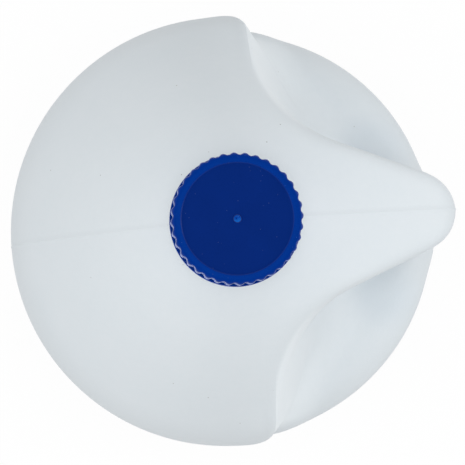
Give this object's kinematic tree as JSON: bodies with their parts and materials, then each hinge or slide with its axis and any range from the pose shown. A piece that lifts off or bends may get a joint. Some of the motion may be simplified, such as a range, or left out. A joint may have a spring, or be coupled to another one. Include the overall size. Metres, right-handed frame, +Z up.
{
  "type": "detergent bottle",
  "caption": "Round white plastic detergent jug with a moulded-in handle between two finger pockets, closed by a fluted blue screw cap over a tamper band.",
  "frame": {"origin": "on the jug's axis, on the surface it stands on", "axes": "+Z up along the neck's axis, +X towards the handle, Y = 0 the mould's parting plane"},
  "size_m": [0.152, 0.152, 0.2861],
  "materials": {
    "bottle_white": "blow-moulded milky white polyethylene, soft satin",
    "cap_blue": "injection-moulded blue polypropylene, fine satin",
    "liner_foam": "closed-cell white foam wad"
  },
  "bodies": {
    "bottle": {"bottle": "bottle_white"},
    "band": {"tamper_band": "cap_blue"},
    "liner": {"cap_liner": "liner_foam"},
    "cap": {"screw_cap": "cap_blue"}
  },
  "joints": [
    {"name": "band_spin", "type": "hinge", "parent": "bottle", "child": "band", "pos_m": [0, 0, 0.2668], "axis": [0, 0, 1], "continuous": true},
    {"name": "cap_lift", "type": "slide", "parent": "bottle", "child": "liner", "axis": [0, 0, 1], "range_m": [0, 0.01694]},
    {"name": "cap_turn", "type": "hinge", "parent": "liner", "child": "cap", "pos_m": [0, 0, 0.278], "axis": [0, 0, 1], "range_deg": [0, 1440]}
  ],
  "couplings": [
    {"joint": "cap_lift", "follows": "cap_turn", "m_per_rad": 0.0006737}
  ]
}
